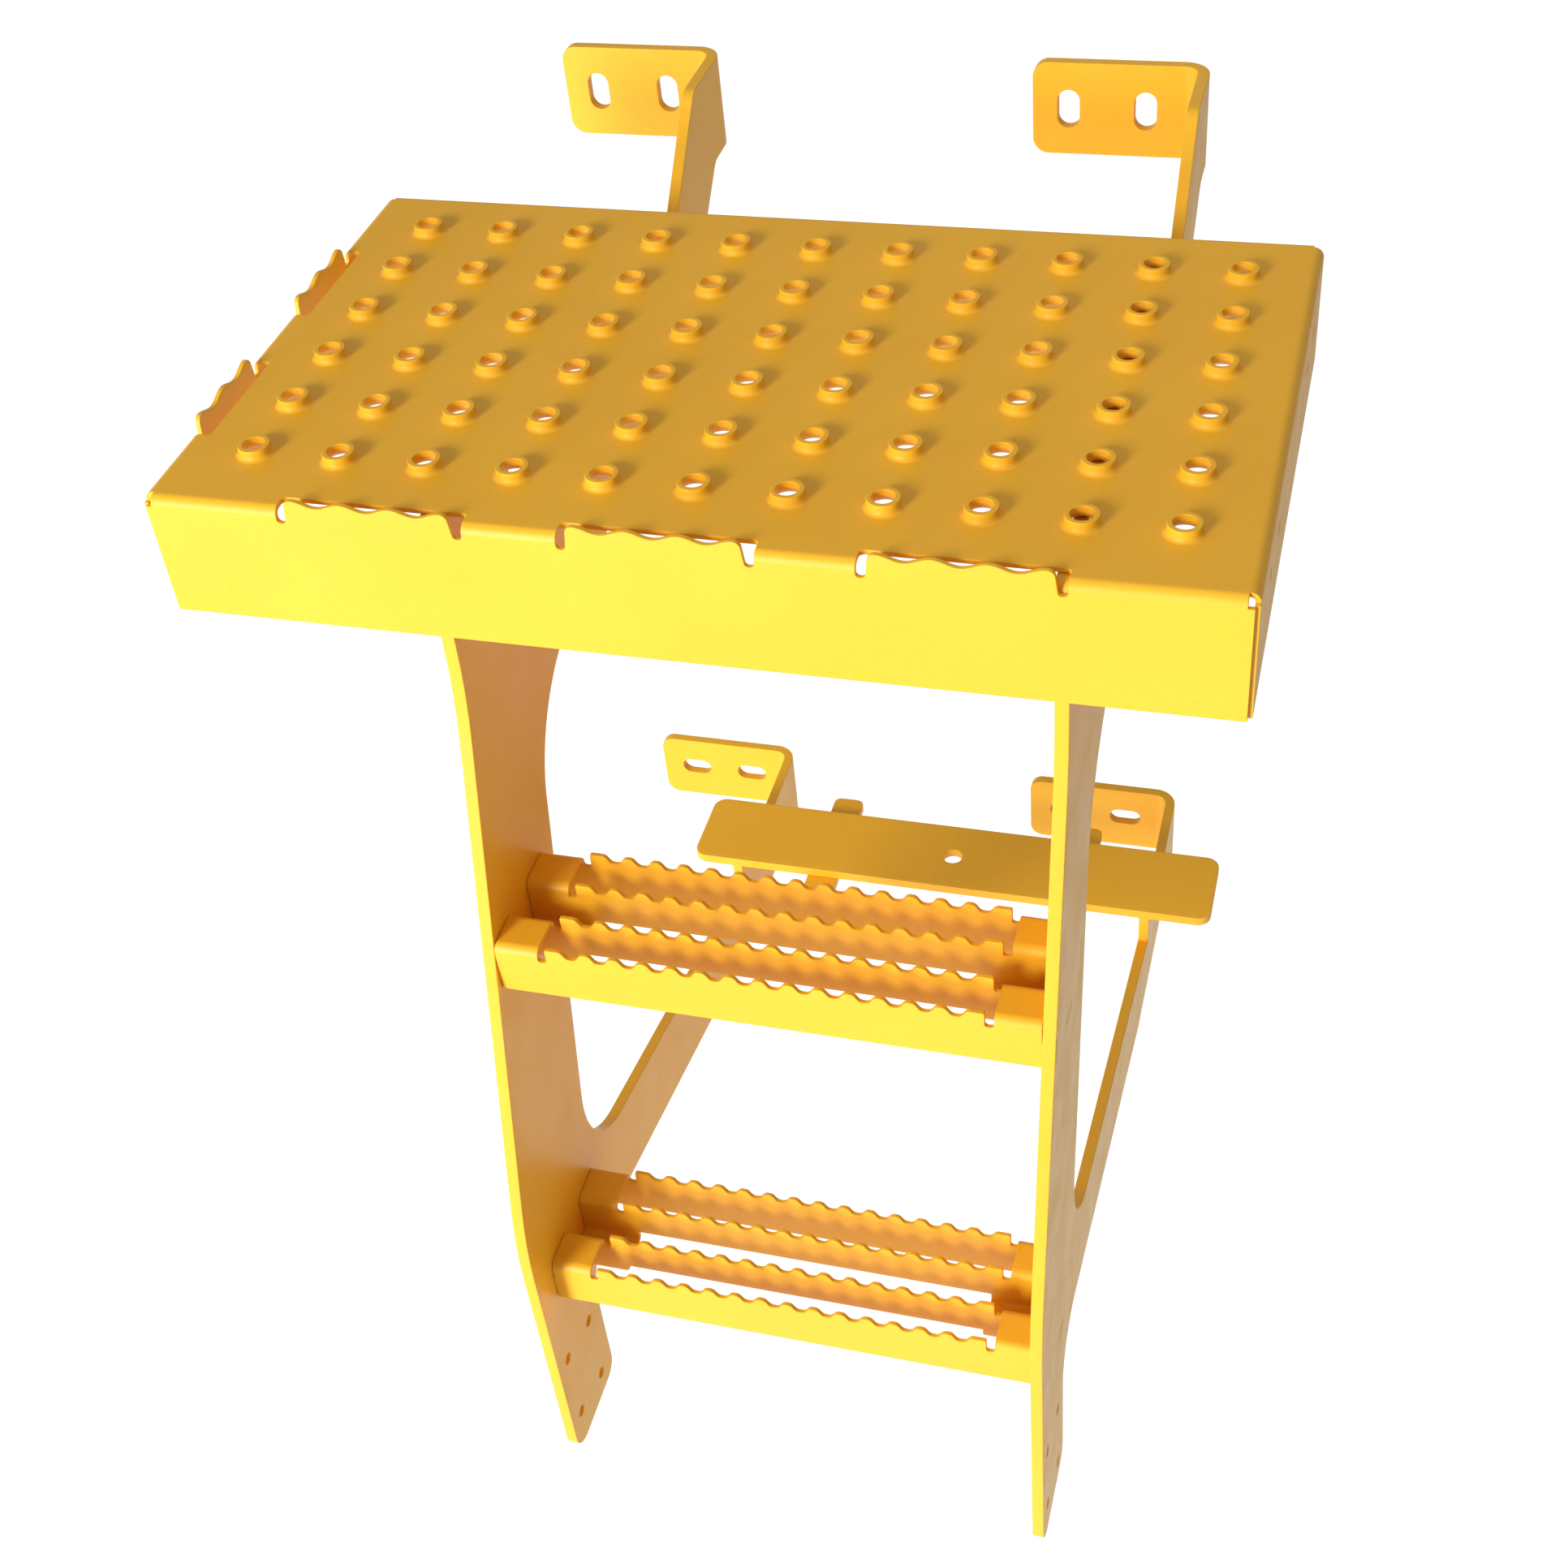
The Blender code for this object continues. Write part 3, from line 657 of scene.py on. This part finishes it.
def toothed_edge():
    """Top edge of a tread wall from pad to pad, heights measured from the top of the pads."""
    left, right = tread_ends()
    middle = (left + right) / 2
    start = left + PAD_LENGTH
    relief = [(start, -FOLD_REACH, 0), (start, -RELIEF_DEEP, RELIEF_R),
              (start + RELIEF_W, -RELIEF_DEEP, RELIEF_R),
              (start + RELIEF_W, TOOTH_WAVE, TOOTH_SHOULDER_R)]
    teeth = []
    for k in range(TOOTH_TROUGHS * TOOTH_SAMPLES + 1):
        periods = k / TOOTH_SAMPLES
        a = middle + (periods - TOOTH_TROUGHS / 2) * TOOTH_PITCH
        wave = math.tanh(TOOTH_FLATNESS * math.cos(2 * math.pi * periods))
        teeth.append((a, TOOTH_WAVE * (wave / math.tanh(TOOTH_FLATNESS)), 0))
    mirrored = [(left + right - a, b, radius) for a, b, radius in reversed(relief)]
    return relief + teeth + mirrored


def outer_wall():
    """Front or rear wall of a tread, with the tabs that pass through the side plates."""
    left, right = tread_ends()
    reach = PLATE_T + GAP
    low, high = WALL_TAB["low"], WALL_TAB["high"]
    bottom = square([(left, low), (left, -TREAD_DEEP), (right, -TREAD_DEEP), (right, low)])
    right_tab = square([(right + reach, low), (right + reach, high), (right, high),
                        (right, -FOLD_REACH)])
    left_tab = square([(left, -FOLD_REACH), (left, high), (left - reach, high),
                       (left - reach, low)])
    return rounded(bottom + right_tab + toothed_edge()[::-1] + left_tab)


def inner_wall():
    """Wall beside the valley, cut away below between the valley's two floors."""
    left, right = tread_ends()
    valley_z = -TREAD_DEEP + FOLD_REACH
    bottom = square([(left, valley_z), (left + VALLEY_LENGTH, valley_z),
                     (left + VALLEY_LENGTH, INNER_WALL_LOW),
                     (right - VALLEY_LENGTH, INNER_WALL_LOW),
                     (right - VALLEY_LENGTH, valley_z), (right, valley_z), (right, -FOLD_REACH)])
    return rounded(bottom + toothed_edge()[::-1] + square([(left, -FOLD_REACH)]))


def tread(name):
    """Tread folded from one sheet: four toothed walls, joined at both ends by pads and a valley."""
    front, top = span(name, Y)[0], TREAD_TOP[name]
    left, right = tread_ends()
    walls = [front + offset for offset in WALL_OFFSETS]
    bm = bmesh.new()
    for wall, outline in zip(walls, (outer_wall(), inner_wall(), inner_wall(), outer_wall())):
        add_flat(bm, [[(a, b + top) for a, b in outline]], plane("X", "Z", wall))
    pad_z = top - SHEET_T / 2
    valley_z = top - TREAD_DEEP + SHEET_T / 2
    for x0, x1, x2 in ((left, left + PAD_LENGTH, left + VALLEY_LENGTH),
                       (right, right - PAD_LENGTH, right - VALLEY_LENGTH)):
        for near, far in ((walls[0], walls[1]), (walls[2], walls[3])):
            y0, y1 = near + FOLD_R, far - FOLD_R
            fold_z = pad_z - FOLD_R
            add_fold(bm, (x0, near, fold_z), (x1, near, fold_z), (0, y0, fold_z), (1, 0, 0), -90)
            add_fold(bm, (x0, y1, pad_z), (x1, y1, pad_z), (0, y1, fold_z), (1, 0, 0), -90)
            add_flat(bm, [[(x0, y0), (x1, y0), (x1, y1), (x0, y1)]], plane("X", "Y", pad_z))
        y0, y1 = walls[1] + FOLD_R, walls[2] - FOLD_R
        fold_z = valley_z + FOLD_R
        add_fold(bm, (x0, walls[1], fold_z), (x2, walls[1], fold_z), (0, y0, fold_z),
                 (1, 0, 0), 90)
        add_fold(bm, (x0, y1, valley_z), (x2, y1, valley_z), (0, y1, fold_z), (1, 0, 0), 90)
        tab_end = x0 + math.copysign(PLATE_T + GAP, x0 - x2)
        tab0, tab1 = front + VALLEY_TAB["front"], front + VALLEY_TAB["rear"]
        floor = [(x0, y0), (x2, y0), (x2, y1), (x0, y1),
                 (x0, tab1), (tab_end, tab1), (tab_end, tab0), (x0, tab0)]
        add_flat(bm, [floor], plane("X", "Y", valley_z))
    finished_piece(name, bm, SHEET_T, SHEET_EDGE_R, "sheet_coat")


# ---------------------------------------------------------------- flat plates

def flat_plate(node, corner_r, upright=False, holes=()):
    """A plate as large as its CAD node, lying flat or standing across the step."""
    a0, a1 = span(node, X)
    b0, b1 = span(node, Z if upright else Y)
    middle = sum(span(node, Y if upright else Z)) / 2
    bm = bmesh.new()
    place = plane("X", "Z" if upright else "Y", middle)
    add_flat(bm, [box_outline(a0, a1, b0, b1, corner_r)] + list(holes), place)
    finished_piece(node, bm, PLATE_T, PLATE_EDGE_R, "plate_coat")


def shelf_and_bars():
    """The flat plates between the side plates."""
    hole = circle(sum(span("shelf_plate", X)) / 2, sum(span("shelf_plate", Y)) / 2, SHELF_HOLE_R)
    flat_plate("shelf_plate", SHELF_CORNER_R, holes=[hole])
    for node in ("shelf_bar_left", "shelf_bar_right"):
        flat_plate(node, BAR_CORNER_R)
    flat_plate("rear_tie_plate", 0.0, upright=True)


# ---------------------------------------------------------------- stage

def pale_floor():
    """Pale floor far below the step. Its glow is painted light: it keeps the floor near white,
    lights the step from below, and fades to the right.
    """
    material = bpy.data.materials.new("pale_floor")
    material.use_nodes = True
    tree = material.node_tree
    shader = tree.nodes["Principled BSDF"]
    where = tree.nodes.new("ShaderNodeTexCoord").outputs["Object"]
    shade = blend(tree, noise(tree, where, scale=3.0, detail=4.0), *FLOOR_GREYS)
    tree.links.new(shade, shader.inputs["Base Color"])
    shader.inputs["Roughness"].default_value = 0.9
    shader.inputs["Specular IOR Level"].default_value = 0.1
    # painted light: the floor's glow is weaker to the right, so the step's right-facing sides get
    # less light from below
    glow = darker_to_the_right(tree, where, **FLOOR_SHADE)
    tree.links.new(blend(tree, glow, BLACK, WHITE), shader.inputs["Emission Color"])
    shader.inputs["Emission Strength"].default_value = FLOOR_GLOW
    bm = bmesh.new()
    bmesh.ops.create_grid(bm, x_segments=8, y_segments=8, size=FLOOR_SIZE / 2)
    mesh = bpy.data.meshes.new("floor")
    bm.to_mesh(mesh)
    bm.free()
    mesh.materials.append(material)
    floor = bpy.data.objects.new("floor", mesh)
    floor.location = (0, 0, CAD_LOW.z - FLOOR_DROP)
    bpy.context.scene.collection.objects.link(floor)


def area_light(name, at, towards, size, power):
    """Round white lamp that the camera doesn't see."""
    lamp = bpy.data.lights.new(name, "AREA")
    lamp.shape = "DISK"
    lamp.size = size
    lamp.energy = power
    holder = bpy.data.objects.new(name, lamp)
    holder.location = at
    holder.rotation_euler = (Vector(towards) - Vector(at)).to_track_quat("-Z", "Y").to_euler()
    holder.visible_camera = False
    bpy.context.scene.collection.objects.link(holder)


def darker_to_the_right(tree, where, start, end, least):
    """Factor that falls from 1 to least between two places, or directions, along +X."""
    parts = tree.nodes.new("ShaderNodeSeparateXYZ")
    tree.links.new(where, parts.inputs["Vector"])
    return spread(tree, parts.outputs["X"], (start, end), (1.0, least))


def studio():
    """Two keys from the front left, a small fill over the platform, and a soft sky."""
    centre = (CAD_LOW + CAD_HIGH) / 2
    for name, key in KEYS.items():
        at = centre + Vector(key["from"]) * KEY_DISTANCE
        area_light(name, at, centre, KEY_SIZE, key["power"])
    area_light("platform_fill", **FILL)
    world = bpy.data.worlds.new("studio")
    world.use_nodes = True
    tree = world.node_tree
    where = tree.nodes.new("ShaderNodeTexCoord").outputs["Generated"]
    shade = darker_to_the_right(tree, where, **SKY_SHADE)
    sky = tree.nodes["Background"]
    tree.links.new(blend(tree, shade, BLACK, WHITE), sky.inputs["Color"])
    sky.inputs["Strength"].default_value = SKY_GLOW
    bpy.context.scene.world = world
    bpy.context.scene.view_settings.view_transform = "Standard"


def camera():
    """Camera that looks down at the step from its front right."""
    lens = bpy.data.cameras.new("camera")
    lens.lens = CAMERA_LENS
    lens.sensor_width = CAMERA_SENSOR
    holder = bpy.data.objects.new("camera", lens)
    turn = (Matrix.Rotation(math.radians(CAMERA_AZIMUTH), 4, "Z")
            @ Matrix.Rotation(math.radians(90 - CAMERA_ELEVATION), 4, "X")
            @ Matrix.Rotation(math.radians(CAMERA_ROLL), 4, "Z"))
    holder.matrix_world = Matrix.Translation(CAMERA_AT) @ turn
    bpy.context.scene.collection.objects.link(holder)
    bpy.context.scene.camera = holder


side_plate("side_plate_left", 0.0)
side_plate("side_plate_right", PLATE_PITCH)
platform_deck()
for tread_name in TREAD_TOP:
    tread(tread_name)
shelf_and_bars()
pale_floor()
studio()
camera()
